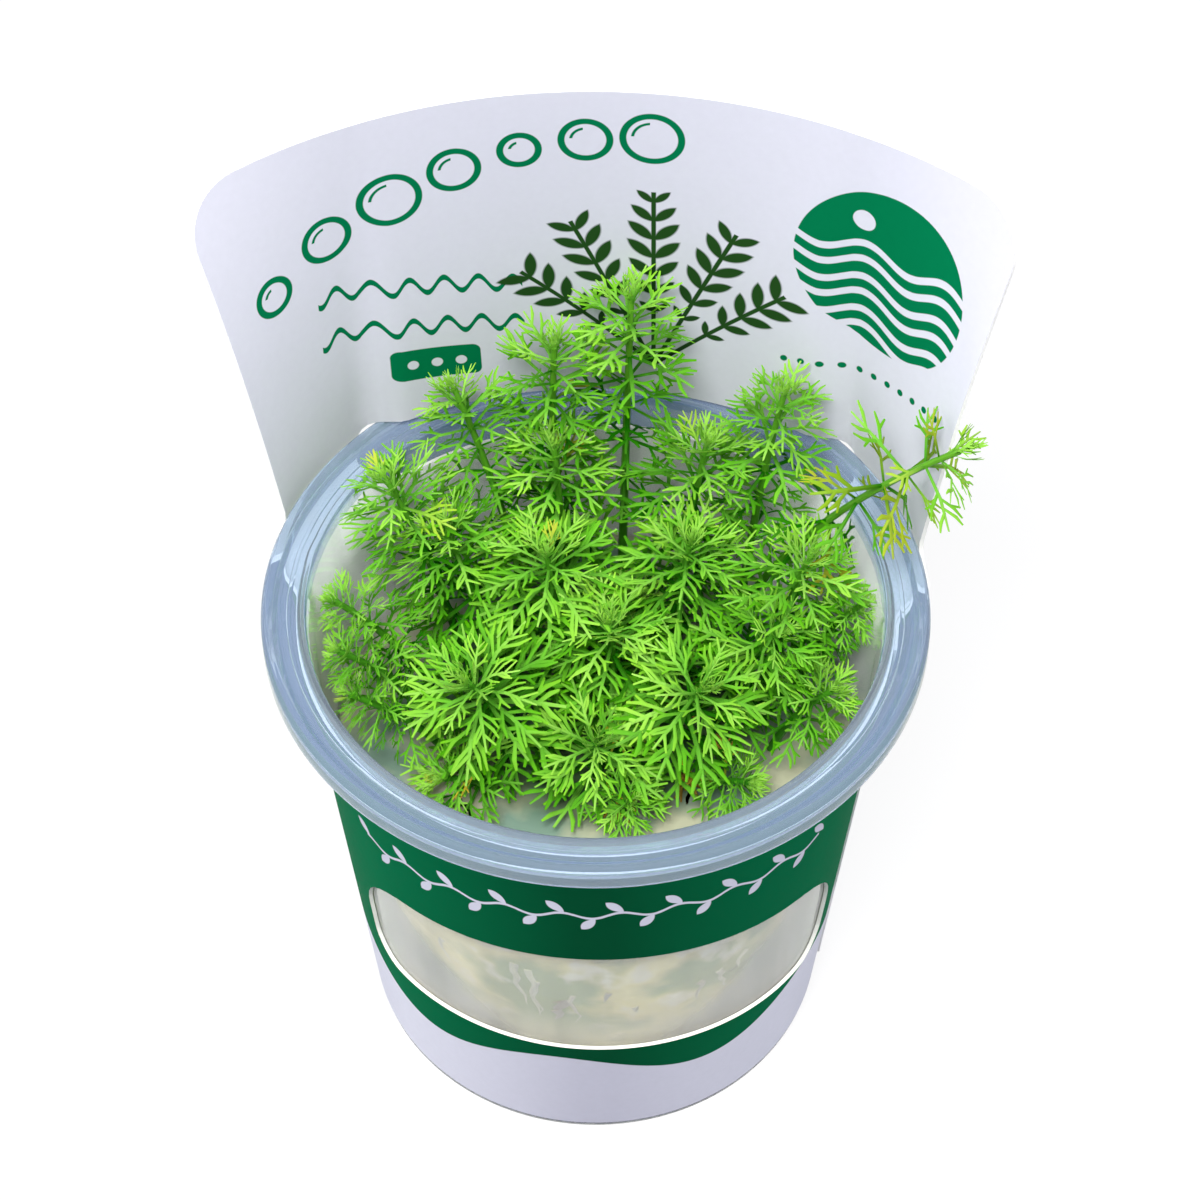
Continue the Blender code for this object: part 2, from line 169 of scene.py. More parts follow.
# The paper is dimmer for the light that it sends on than it looks to the camera.
SWEEP_HALF_WIDTH = 3
PAPER_LIT, PAPER_MIRRORED = (0.35, 0.36, 0.42), (0.74, 0.74, 0.68)
PAPER_THROUGH_PLASTIC, PAPER_SEEN = (0.06, 0.11, 0.19), (0.12, 0.12, 0.12)
PAPER_GLOW = 0.87
bm = bmesh.new()
bmesh.ops.create_grid(bm, x_segments=1, y_segments=1, size=SWEEP_HALF_WIDTH)
sweep_mesh = bpy.data.meshes.new("sweep")
bm.to_mesh(sweep_mesh)
bm.free()
sweep = bpy.data.objects.new("sweep", sweep_mesh)
bpy.context.scene.collection.objects.link(sweep)
paper, tree, shader, place = new_finish("sweep_paper", 0.9)
ray = node(tree, "LightPath")
dim = blend(tree, ray.outputs["Is Glossy Ray"], PAPER_LIT, PAPER_MIRRORED)
dim = blend(tree, ray.outputs["Is Transmission Ray"], dim, PAPER_THROUGH_PLASTIC)
seen = ray.outputs["Is Camera Ray"]
feed(shader.inputs["Base Color"], blend(tree, seen, dim, PAPER_SEEN))
feed(shader.inputs["Emission Color"], blend(tree, seen, (0, 0, 0), (1, 1, 1)))
shader.inputs["Emission Strength"].default_value = PAPER_GLOW
sweep_mesh.materials.append(paper)

# The cup is moulded in clear plastic in one piece: a foot ring, a tapered wall, and a wide flat rim
# with a raised bead outside, a lip inside and a skirt below, that the missing lid would snap onto.
BOTTOM_RADIUS, WALL_SLOPE = 34.58 * MM, 0.0865
WALL = 0.8 * MM
RIM_TOP, RIM_START = 85.6 * MM, 81.5 * MM
GAP = 0.3 * MM  # between pieces that touch


def wall_outside(height):
    return BOTTOM_RADIUS + WALL_SLOPE * height


def add_piece(name, bm, finishes, sharp=35, nodes=()):
    """Ends a piece: its mesh, its finishes, what it rides on and the CAD nodes it is for."""
    mesh = bpy.data.meshes.new(name)
    bm.to_mesh(mesh)
    bm.free()
    mesh.shade_smooth()
    mesh.set_sharp_from_angle(angle=math.radians(sharp))
    for made in finishes:
        mesh.materials.append(made)
    piece = bpy.data.objects.new(name, mesh)
    bpy.context.scene.collection.objects.link(piece)
    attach(piece, "root")
    if nodes:
        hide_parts(*nodes)
    return piece


def turn_profile(profile, steps):
    """Spins corners (radius, height, rounding) in mm about the cup's axis."""
    bm = bmesh.new()
    verts = [bm.verts.new((radius * MM, 0, height * MM)) for radius, height, _ in profile]
    edges = [bm.edges.new(pair) for pair in zip(verts, verts[1:])]
    bmesh.ops.spin(
        bm,
        geom=verts + edges,
        cent=(0, 0, 0),
        axis=(0, 0, 1),
        angle=math.tau,
        steps=steps,
        use_merge=True,
    )
    bmesh.ops.remove_doubles(bm, verts=bm.verts, dist=0.002 * MM)
    for radius, height, rounding in profile:
        if not rounding:
            continue
        spot = Vector((radius, height)) * MM
        on_corner = {
            v for v in bm.verts if (Vector((v.co.xy.length, v.co.z)) - spot).length < 0.001 * MM
        }
        bmesh.ops.bevel(
            bm,
            geom=[edge for edge in bm.edges if on_corner.issuperset(edge.verts)],
            offset=rounding * MM,
            affect="EDGES",
            segments=3,
            profile=0.5,
            material=-1,
        )
    bmesh.ops.recalc_face_normals(bm, faces=bm.faces)
    return bm


cup_profile = (
    (0, 0, 0),  # foot ring
    (34.9, 0, 0.1),
    (35.2, 0.3, 0.1),
    (35.2, 0.7, 0.12),
    (34.67, 1.0, 0.1),  # outside of the wall, up to the rim
    (wall_outside(83.6 * MM) / MM, 83.6, 0.25),
    (46.6, 83.6, 0.25),  # skirt
    (46.6, 82.0, 0.2),
    (47.5, 82.0, 0.2),
    (47.5, 84.9, 0.3),  # bead
    (46.9, 85.6, 0.25),
    (46.1, 85.6, 0.3),
    (44.9, 84.6, 0.4),  # flat band, with a low ring on it
    (43.9, 84.6, 0),
    (43.75, 84.78, 0.08),
    (43.35, 84.78, 0.08),
    (43.2, 84.6, 0),
    (42.4, 84.6, 0.15),
    (42.0, 85.1, 0.15),  # lip
    (41.3, 85.1, 0.2),
    (40.9, 83.2, 0.5),  # inside of the wall, down to the floor
    (34.0, 1.8, 0.4),
    (33.0, 1.0, 0.4),
    (0, 1.0, 0),
)
bm = turn_profile(cup_profile, 180)
# A small lump on the lip is where the plastic was let into the mould.
LUMP = Vector((-41.2, 8.6)) * MM
LUMP_RADIUS, LUMP_HEIGHT = 2.6 * MM, 0.45 * MM
for vert in bm.verts:
    near = (vert.co.xy - LUMP).length / LUMP_RADIUS
    if vert.co.z > RIM_TOP - 1.6 * MM and near < 1:
        vert.co.z += LUMP_HEIGHT * (1 - near * near)


def new_group(name, inputs, outputs):
    """An effect that several finishes share, with what it takes in and what it gives out."""
    group = bpy.data.node_groups.new(name, "ShaderNodeTree")
    for side, sockets in (("INPUT", inputs), ("OUTPUT", outputs)):
        for label, kind in sockets.items():
            group.interface.new_socket(label, in_out=side, socket_type="NodeSocket" + kind)
    taken = group.nodes.new("NodeGroupInput").outputs
    return group, taken, group.nodes.new("NodeGroupOutput").inputs


def relief(tree, height, depth, strength=1.0, under=None):
    """The normals of a finish that rises and sinks by up to depth mm."""
    bump = node(tree, "Bump", {"Height": height, "Distance": depth * MM, "Strength": strength})
    if under:
        feed(bump.inputs["Normal"], under)
    return bump.outputs[0]


flow_marks, taken, given = new_group(
    "flow_marks",
    {"Place": "Vector", "Ripple": "Float", "Haze": "Float", "Streaks": "Float", "Tint": "Color"},
    {"Color": "Color", "Roughness": "Float", "Normal": "Vector"},
)
# Both patterns are drawn out along the wall, the way that the plastic ran.
flow = node(flow_marks, "Mapping", {0: taken["Place"], 3: (1, 1, 0.25)}).outputs[0]
streaks = node(flow_marks, "Mapping", {0: taken["Place"], 3: (1, 1, 0.08)}).outputs[0]
streaks = speckle(flow_marks, streaks, 240).share(0.45, 0.72) * taken["Streaks"]
feed(given["Color"], blend(flow_marks, streaks, taken["Tint"], (0.5, 0.52, 0.52)))
feed(given["Roughness"], speckle(flow_marks, taken["Place"], 120) * taken["Haze"])
feed(given["Normal"], relief(flow_marks, speckle(flow_marks, flow, 90), 0.4, taken["Ripple"]))


def clear_plastic(name, clearness, tint, **marks):
    made, tree, shader, place = new_finish(name, 0.05, Transmission_Weight=clearness, IOR=1.47)
    marks = {"Place": place, "Tint": tint, **marks}
    marks = node(tree, "Group", marks, node_tree=flow_marks).outputs
    feed(shader.inputs["Base Color"], marks["Color"])
    feed(shader.inputs["Roughness"], marks["Roughness"])
    feed(shader.inputs["Normal"], marks["Normal"])
    return made


for face in bm.faces:
    face.material_index = int(face.calc_center_median().z > RIM_START)
plastics = [
    clear_plastic("wall_plastic", 0.84, (0.97, 0.98, 0.96), Ripple=0.25, Haze=0.03, Streaks=0.35),
    # The rim is tinted a darker blue than the wall: partly the plastic's own pale blue, partly
    # painted shade of the dim room seen through the flange.
    clear_plastic("rim_plastic", 0.80, (0.47, 0.58, 0.73), Ripple=0.05, Haze=0.05, Streaks=0.1),
]
cup = add_piece("clear_cup", bm, plastics, nodes=["cup"])
cup.visible_shadow = False
cup.visible_diffuse = False

# The sleeve is one die-cut card, white inside and printed green and white outside. It is rolled
# round the cup and glued at a lap on its right, the rim passes through a slot at its back, and
# its header stands up behind the plants with its printed face forwards.
CARD_INSIDE, CARD_OUTSIDE = -0.22 * MM, 0.4 * MM
CARD_FOOT, SLEEVE_TOP = 1.3 * MM, 81.6 * MM
HEADER_BASE, HEADER_HEIGHT = 85.4 * MM, 59.4 * MM
HEADER_HALF_WIDTH = 54.8 * MM
HEADER_CORNER, HEADER_EDGE_SLOPE = 8.7 * MM, 0.115
HEADER_TOP_RADIUS = 433 * MM
HEADER_CURL = 98 * MM  # the header's radius in plan, near its top
HEADER_CURL_HEIGHT = 57 * MM
HEADER_FACE_TOP = 40.5 * MM  # how far back its middle stands, near its top
HEADER_OFFSET = 0.5 * MM
HEADER_TURN_LOW, HEADER_TURN_HIGH = 2.8, 1.2  # degrees that it has slipped round
TURN_START, TURN_RISE = 58 * MM, 24 * MM
NECK_RADIUS = 47.9 * MM  # the card's inside where it passes round the rim
NECK_CURL = 59 * MM  # the flatter arc on which it passes over the rim, at the slot
NECK_DEPTH = 40.5 * MM
NECK_TURN_START, NECK_TURN_END = 42, 50
NECK_FILLET = 4 * MM
FLARE_START, FLARE_RISE = 73 * MM, 9 * MM  # the sleeve swells out here to pass round the rim
FLARE_END_ANGLE, FLARE_EASE = 90, 11
TUCK_START = 79 * MM  # and at the back it is drawn in behind the rim from here
PER_DEGREE = HEADER_HALF_WIDTH / 74  # scale of the flat card along the girth
LAP_START, LAP_END, LAP_EASE = 84, 96, 6
LAP_STEP = 0.7 * MM


def ease(value):
    value = min(max(value, 0.0), 1.0)
    return value * value * (3 - 2 * value)


def neck_radius(angle):
    """The card's inside at the rim: a flat arc over the rim at the slot, and round it elsewhere."""
    turn = math.radians(min(abs(angle), NECK_TURN_END))
    middle = NECK_CURL - NECK_DEPTH
    flat = math.sqrt(NECK_CURL**2 - (middle * math.sin(turn)) ** 2) - middle * math.cos(turn)
    step = (abs(angle) - NECK_TURN_START) / (NECK_TURN_END - NECK_TURN_START)
    return flat + (NECK_RADIUS - flat) * ease(step)


def header_point(angle, height):
    """A point of the header's face, on straight lines from the neck to the flatter top."""
    turn = math.radians(angle)
    low = Vector((math.sin(turn), math.cos(turn))) * neck_radius(angle)
    curl = angle * PER_DEGREE / HEADER_CURL
    depth = HEADER_FACE_TOP - HEADER_CURL * (1 - math.cos(curl))
    high = Vector((HEADER_CURL * math.sin(curl), depth))
    point = low.lerp(high, (height - HEADER_BASE) / HEADER_CURL_HEIGHT)
    return Vector((point.x, point.y, height))


def sleeve_point(angle, height):
    """A point of the sleeve's inside: on the cup's cone, and swelling out under the rim."""
    turn = math.radians(angle)
    radius = wall_outside(height) + GAP
    around = abs((angle + 180) % 360 - 180)
    swell = neck_radius(around) - radius
    if swell > 0:
        swell *= ease((height - FLARE_START) / FLARE_RISE)
        swell *= ease((FLARE_END_ANGLE - around) / FLARE_EASE)
    else:
        swell *= ease((height - TUCK_START) / (HEADER_BASE - TUCK_START))
    radius += swell
    return Vector((radius * math.sin(turn), radius * math.cos(turn), height))


def card_point(across, height, depth):
    """Rolls a point of the flat card up: depth is its distance out from the card's inner face."""
    angle = across / PER_DEGREE
    surface = header_point if height > HEADER_BASE else sleeve_point
    here = surface(angle, height)
    aside = surface(angle + 0.5, height) - here
    outward = Vector((-aside.y, aside.x, 0)).normalized()
    point = here + outward * (depth + ease((angle - LAP_START) / LAP_EASE + 1) * LAP_STEP)
    up_header = max(height - HEADER_BASE, 0) / HEADER_HEIGHT
    slip = HEADER_TURN_LOW + (HEADER_TURN_HIGH - HEADER_TURN_LOW) * up_header
    turn = math.radians(slip) * ease((height - TURN_START) / TURN_RISE)
    return Matrix.Rotation(-turn, 3, "Z") @ point


def arc(centre, radius, start, end, count):
    steps = [start + (end - start) * i / count for i in range(count + 1)]
    return [(centre[0] + radius * math.cos(a), centre[1] + radius * math.sin(a)) for a in steps]


def rounded(width, height, top, low, step=2):
    """A rounded oblong's outline, with a point at least every step mm."""
    corners = []
    for quarter, (aside, above) in enumerate(((1, 1), (-1, 1), (-1, -1), (1, -1))):
        radius = top if above > 0 else low
        centre = (aside * (width / 2 - radius), above * (height / 2 - radius))
        start = quarter * math.pi / 2
        corners += arc(centre, radius, start, start + math.pi / 2, 8)
    points = []
    for (x0, y0), (x1, y1) in zip(corners, corners[1:] + corners[:1]):
        count = max(1, round(math.hypot(x1 - x0, y1 - y0) / step))
        points += [(x0 + (x1 - x0) * i / count, y0 + (y1 - y0) * i / count) for i in range(count)]
    return points


# The window in the front, in mm on the flat card.
WINDOW_CENTRE = -182.2  # degrees: a little off the front's middle
WINDOW_WIDTH, WINDOW_HEIGHT, WINDOW_MIDDLE = 94, 27.6, 39.6
WINDOW_TOP_CORNER, WINDOW_LOW_CORNER = 13.5, 7
WINDOW_TOP_BEND, WINDOW_LOW_BEND = 165, 360  # its long edges drop towards their ends
WINDOW_TILT = 0.03
window = []
for x, y in rounded(WINDOW_WIDTH, WINDOW_HEIGHT, WINDOW_TOP_CORNER, WINDOW_LOW_CORNER):
    share = y / WINDOW_HEIGHT + 0.5
    drop = share / WINDOW_TOP_BEND + (1 - share) / WINDOW_LOW_BEND
    height = WINDOW_MIDDLE + y - x * x * drop / 2 + WINDOW_TILT * x
    window.append((WINDOW_CENTRE * PER_DEGREE + x * MM, height * MM))

# The slot at the back, which the rim passes through, in degrees along and mm up.
SLOT_ANGLE, SLOT_LOW, SLOT_HIGH = 104, 77, 86
SLOT_TOP_CORNER, SLOT_LOW_CORNER = 4.4, 3
slot_width = SLOT_ANGLE * PER_DEGREE / MM
slot_edge = rounded(slot_width, SLOT_HIGH - SLOT_LOW, SLOT_TOP_CORNER, SLOT_LOW_CORNER)
slot = [(x * MM, ((SLOT_LOW + SLOT_HIGH) / 2 + y) * MM) for x, y in slot_edge]

# The header's sides lean out, and its corners are arcs that touch both a side and the long top arc.
crown = HEADER_BASE + HEADER_HEIGHT - HEADER_TOP_RADIUS
slope = HEADER_EDGE_SLOPE
start = HEADER_HALF_WIDTH - HEADER_CORNER * math.hypot(1, slope)
rise = HEADER_BASE - crown
a, b = 1 + slope**2, 2 * (slope * start + rise)
c = start**2 + rise**2 - (HEADER_TOP_RADIUS - HEADER_CORNER) ** 2
climb = (-b + math.sqrt(b * b - 4 * a * c)) / (2 * a)
corner = (start + slope * climb, HEADER_BASE + climb)
top_angle = math.atan2(corner[1] - crown, corner[0])
fillet = (HEADER_HALF_WIDTH + NECK_FILLET, SLEEVE_TOP + NECK_FILLET)
half = arc(fillet, NECK_FILLET, -math.pi / 2, -math.pi, 8)
half += arc(corner, HEADER_CORNER, math.atan2(-slope, 1), top_angle, 14)
half += arc((0, crown), HEADER_TOP_RADIUS, top_angle, math.pi / 2, 24)[1:]
left_end, right_end = (LAP_START - 365) * PER_DEGREE, (LAP_END + 5) * PER_DEGREE
far_top = HEADER_BASE + HEADER_HEIGHT + 5.2 * MM
waste = [(-x, z) for x, z in half] + half[::-1][1:]
waste = [(left_end, SLEEVE_TOP)] + [(x + HEADER_OFFSET, z) for x, z in waste]
waste += [(right_end, SLEEVE_TOP), (right_end, far_top), (left_end, far_top)]


def thicken(bm, faces, depth):
    """Pulls flat faces into a closed slab that is depth thick, along Y."""
    raised = bmesh.ops.extrude_face_region(bm, geom=faces, use_keep_orig=True)["geom"]
    moved = [item for item in raised if isinstance(item, bmesh.types.BMVert)]
    bmesh.ops.translate(bm, vec=(0, depth, 0), verts=moved)


def add_helper(name, bm):
    bmesh.ops.recalc_face_normals(bm, faces=bm.faces)
    mesh = bpy.data.meshes.new(name)
    bm.to_mesh(mesh)
    bm.free()
    helper = bpy.data.objects.new(name, mesh)
    bpy.context.scene.collection.objects.link(helper)
    return helper


# The flat sheet has creases close enough to roll up smoothly. Dies cut the window, the slot and
# the waste round the header from it.
SHEET_DEGREES = 360 + LAP_END - LAP_START
levels = [CARD_FOOT] + [2.4 * MM * i for i in range(1, 62)]
bm = bmesh.new()
bmesh.ops.create_grid(bm, x_segments=SHEET_DEGREES // 2, y_segments=len(levels) - 1, size=1)
for vert in bm.verts:
    level = round((vert.co.y + 1) / 2 * (len(levels) - 1))
    angle = LAP_END - SHEET_DEGREES * (1 - vert.co.x) / 2
    vert.co = (angle * PER_DEGREE, CARD_INSIDE, levels[level])
thicken(bm, list(bm.faces), CARD_OUTSIDE - CARD_INSIDE)
sheet = add_helper("flat_sheet", bm)
dies = []
for name, outline in (("window_die", window), ("slot_die", slot), ("waste_die", waste)):
    bm = bmesh.new()
    face = bm.faces.new([bm.verts.new((x, -5 * MM, z)) for x, z in outline])
    thicken(bm, [face], 10 * MM)
    bmesh.ops.triangulate(bm, faces=[f for f in bm.faces if len(f.verts) > 4])
    die = add_helper(name, bm)
    cut = sheet.modifiers.new(name, "BOOLEAN")
    cut.operation, cut.object = "DIFFERENCE", die
    dies.append(die)
bpy.context.view_layer.update()
cut_mesh = bpy.data.meshes.new_from_object(
    sheet.evaluated_get(bpy.context.evaluated_depsgraph_get())
)
for helper in [sheet, *dies]:
    bpy.data.objects.remove(helper)
bm = bmesh.new()
bm.from_mesh(cut_mesh)
bmesh.ops.remove_doubles(bm, verts=bm.verts, dist=0.005 * MM)
print_map = bm.loops.layers.uv.new("blank")
near = 0.05 * MM
for face in bm.faces:
    depths = [vert.co.y for vert in face.verts]
    if max(depths) < CARD_INSIDE + near:
        face.material_index = 0
    else:
        face.material_index = 1 if min(depths) > CARD_OUTSIDE - near else 2
    for loop in face.loops:
        loop[print_map].uv = (loop.vert.co.x * 10, loop.vert.co.z * 10)
for vert in bm.verts:
    vert.co = card_point(vert.co.x, vert.co.z, vert.co.y)
bmesh.ops.triangulate(bm, faces=[f for f in bm.faces if len(f.verts) > 4])

# The sleeve is bare inside, and painted lighter there than the header: partly the bare card, partly
# painted light for the dim inside of the cup. The middle of its front is painted darker than the
# rest, as painted shade.
WHITE, BARE_WHITE_PAINTED_LIGHTER = (0.645, 0.642, 0.722), (0.88, 0.88, 0.90)
SLEEVE_WHITE, SHADED_FRONT_WHITE = (0.80, 0.80, 0.86), (0.60, 0.595, 0.665)
GREEN, SHADED_FRONT_GREEN = (0.001, 0.160, 0.060), (0.001, 0.066, 0.024)
PLANT_GREEN = (0.016, 0.062, 0.012)
CUT_WHITE = (0.93, 0.92, 0.88)

card_fibre, taken, given = new_group(
    "card_fibre",
    {"Ink": "Color", "Place": "Vector", "Tooth": "Float"},
    {"Color": "Color", "Roughness": "Float", "Normal": "Vector"},
)
fibre = speckle(card_fibre, taken["Place"], 900, 4)
toned = node(card_fibre, "HueSaturation", {"Color": taken["Ink"], "Value": fibre * 0.06 + 0.97})
feed(given["Color"], toned.outputs[0])
feed(given["Roughness"], fibre * 0.12 + 0.42)
small = relief(card_fibre, fibre, 0.1, taken["Tooth"])
waves = speckle(card_fibre, taken["Place"], 38, 1)
feed(given["Normal"], relief(card_fibre, waves, 1.0, 0.10, small))


def card_finish(name):
    """A card finish, with where each point lies on the flat card: across and up, in mm."""
    made, tree, shader, place = new_finish(name, 0.45, Specular_IOR_Level=0.002)
    flat = node(tree, "SeparateXYZ", {0: node(tree, "UVMap", uv_map="blank").outputs[0]})
    across, above = (Amount(flat.outputs[i]) * 100 for i in (0, 1))
    return made, tree, shader, place, across, above


def lay_ink(tree, shader, place, ink, tooth=0.06):
    """Lays the printed colour on the card, a little uneven where its fibres lie."""
    marks = {"Ink": ink, "Place": place, "Tooth": tooth}
    marks = node(tree, "Group", marks, node_tree=card_fibre).outputs
    feed(shader.inputs["Base Color"], marks["Color"])
    feed(shader.inputs["Roughness"], marks["Roughness"])
    feed(shader.inputs["Normal"], marks["Normal"])


def drawn(distance):
    """1 where a distance in mm is below nought, with an edge as soft as print."""
    return distance.share(0.06, -0.06)


def spaced(along, pitch, first, last):
    """A motif that repeats every pitch: which repeat is nearest, and how far off its middle is."""
    repeat = (along / pitch).work("ROUND").between(first, last)
    return repeat, along - repeat * pitch


def length_of(x, y):
    return (x * x + y * y).work("SQRT")


def pointed_leaf(x, y, lean, size):
    """The distance in from a pointed leaf, size mm from its middle to its tip."""
    along = (x * math.cos(lean) + y * math.sin(lean)) / size
    aside = abs(y * math.cos(lean) - x * math.sin(lean)) / size
    return (length_of(along, aside + 1.19) - 1.554) * size


header_face, tree, shader, place, across, above = card_finish("card_header_face")
inks = []
# Bubbles rise along an arc, each with a glint inside.
cell, x = spaced(across + 49, 9.3, 0, 6)
y = above - (cell * 5.6 - cell * cell * 0.46 + 119.5)
size = cell.work("PINGPONG", 2) * 0.7 + 2.7
reach = length_of(x, y)
inks.append(drawn(abs(reach - size) - 0.5))
high_left = x.work("LESS_THAN", -0.3) * y.work("GREATER_THAN", 0.3)
inks.append(drawn(abs(reach - size + 1.35) - 0.22) * high_left)
# Two rows of little waves, and a tab with three spots under them.
tilted = above + across * 0.19
wave = (across * 1.25).work("SINE") * 1.35
ends = across.work("GREATER_THAN", -42) * across.work("LESS_THAN", -12.5)
for row in (106.4, 98.4):
    inks.append(drawn(abs(tilted - wave - row) - 0.55) * ends)
out_x = (abs(across + 26) - 5.4).work("MAXIMUM", 0)
out_y = (abs(tilted - 91) - 1.8).work("MAXIMUM", 0)
tab = drawn(length_of(out_x, out_y) - 1.2)
_, x = spaced(across + 26, 3.6, -1, 1)
inks.append(tab * (1 - drawn(length_of(x, tilted - 91) - 0.85)))
# A round pool with white ripples across it, and a dotted line below.
x, y = across - 41, above - 121
pool = drawn(length_of(x, y) - 13.6)
ripples = y + (x * 0.48).work("SINE") * 1.1
bands = drawn(abs(abs(ripples + 1.5).work("PINGPONG", 3) - 1.6) - 0.62)
calm = ripples.share(4.4, 4.2)
inks.append(pool * (1 - bands * calm) * (1 - drawn(length_of(x + 4, y - 8) - 1.7)))
_, x = spaced(across - 40, 2.6, -5, 5)
inks.append(drawn(length_of(x, above - (across - 40) * 0.2 - 102) - 0.55))
ink = inks[0]
for other in inks[1:]:
    ink = ink.work("MAXIMUM", other)
# A plant: five stalks that fan out from one foot, each with pairs of plain pointed leaves.
STALK_TURN, LEAF_PITCH, FIRST_LEAF = 0.40, 3.6, 11
x, y = across - 7, above - 92
reach = length_of(x, y)
fan, turn = spaced(x.work("ARCTAN2", y), STALK_TURN, -2, 2)
x, y = abs(reach * turn.work("SINE")), reach * turn.work("COSINE")
last = 6 - abs(fan)
stalk = (x - 0.35).work("MAXIMUM", reach - last * LEAF_PITCH - 13)
tier = ((y - x * 0.9 - FIRST_LEAF) / LEAF_PITCH).work("ROUND").between(0, last)
leaf_y = y - tier * LEAF_PITCH - FIRST_LEAF
size = tier * 0.75 - tier * tier * 0.12 + 1.5
leaves = pointed_leaf((x - size * 0.72) / size, (leaf_y - size * 0.66) / size, 0.75, 1)
plant = drawn(stalk).work("MAXIMUM", drawn(leaves))
# Below the rim the card's inside is painted lighter than the header: partly bare card, partly
# painted light for the dim inside of the cup.
white = blend(tree, above.share(86, 80), WHITE, BARE_WHITE_PAINTED_LIGHTER)
printed = blend(tree, ink, white, GREEN)
lay_ink(tree, shader, place, blend(tree, plant, printed, PLANT_GREEN))

# The sleeve's outside: a green band with a wavy lower border, and a white vine along its top.
VINE_PITCH = 4.3
sleeve_face, tree, shader, place, across, above = card_finish("card_sleeve_face")
degrees = across / (PER_DEGREE / MM)
wave = ((degrees + 172) * math.radians(5)).work("COSINE")
band = drawn(wave * 3.05 + 19.6 - above) * above.work("LESS_THAN", SLEEVE_TOP / MM + 0.1)
front = degrees + 180
along = front * (PER_DEGREE / MM)
cell, x = spaced(along, VINE_PITCH, -9, 9)
y = above - (66 - (front + 8) * (front + 8) * 0.0011)
y = y + (along * (math.pi / VINE_PITCH)).work("COSINE") * 0.7
vine = drawn(abs(y) - 0.3) * drawn(abs(along - 0.5) - 38.5)
flip = cell.work("PINGPONG", 1) * 2 - 1
leaves = drawn(pointed_leaf(x - 0.75, y * flip - 1.75, 1, 2.1))
# The middle of the front is painted darker, white and green alike: this is painted shade, not
# print.
middle = abs(front).share(55, 4)
white = blend(tree, middle, SLEEVE_WHITE, SHADED_FRONT_WHITE)
green = blend(tree, middle, GREEN, SHADED_FRONT_GREEN)
printed = blend(tree, band, white, green)
printed = blend(tree, vine.work("MAXIMUM", leaves), printed, WHITE)
lay_ink(tree, shader, place, printed)

cut_edge, tree, shader, place, across, above = card_finish("card_cut_edge")
lay_ink(tree, shader, place, CUT_WHITE, tooth=0.5)
add_piece("printed_card", bm, [header_face, sleeve_face, cut_edge], nodes=["card_sleeve"])

# The growing gel is a soft, clouded jelly that was poured in warm, so it stands a little up the
# wall where it met it. It is thick enough to look cloudy, greener to the sides and creamy below.
GEL_LEVEL, MENISCUS = 54.0 * MM, 1.2 * MM


def gel_radius(height):
    return wall_outside(height) - WALL - GAP


gel_foot, gel_edge = 1.3, (GEL_LEVEL + MENISCUS) / MM
bm = turn_profile(
    [
        (0, gel_foot, 0),
        (gel_radius(gel_foot * MM) / MM, gel_foot, 0.5),
        (gel_radius(gel_edge * MM) / MM, gel_edge, 0),
        (38.0, 54.7, 0),
        (37.2, 54.3, 0),
        (36.0, 54.08, 0),
        (34.5, 54.0, 0),
        *((30 - 5 * i, 54.0, 0) for i in range(7)),
    ],
    120,
)
# Its top is a little uneven.
for vert in bm.verts:
    if vert.co.z > 53.9 * MM and vert.co.xy.length < 34 * MM:
        vert.co.z += (noise.noise(vert.co * 90) * 0.25 + noise.noise(vert.co * 300) * 0.06) * MM
gel, tree, shader, place = new_finish("growing_gel", 0.22, Transmission_Weight=0.3, IOR=1.34)
across, along, height = map(Amount, node(tree, "SeparateXYZ", {0: place}).outputs)
cloud = speckle(tree, place, 75, 4).share(0.43, 0.58)
colour = blend(tree, cloud, (0.27, 0.36, 0.015), (1.0, 0.87, 0.28))
patch = speckle(tree, place, 150, 3).share(0.54, 0.64) * 0.5
colour = blend(tree, patch, colour, (0.95, 0.95, 0.88))
deep = height.share(0.034, 0.027) * 0.8
colour = blend(tree, deep, colour, (1.0, 0.90, 0.46))
aside = abs(across).share(0.028, 0.030)
colour = blend(tree, aside, colour, (0.24, 0.42, 0.0))
# Its top is painted dark green between the stems: painted shade and green bounce light under the
# leaves.
top = blend(tree, cloud, (0.28, 0.42, 0.33), (0.66, 0.66, 0.46))
canopy_shade = length_of(across, along - 0.010).share(0.029, 0.021) * 0.85
top = blend(tree, canopy_shade, top, (0.03, 0.12, 0.015))
colour = blend(tree, height.share(0.0532, 0.0538), colour, top)
feed(shader.inputs["Base Color"], colour)
feed(shader.inputs["Normal"], relief(tree, cloud, 1.0, 0.2))
add_piece("growing_gel", bm, [gel], nodes=["gel"])

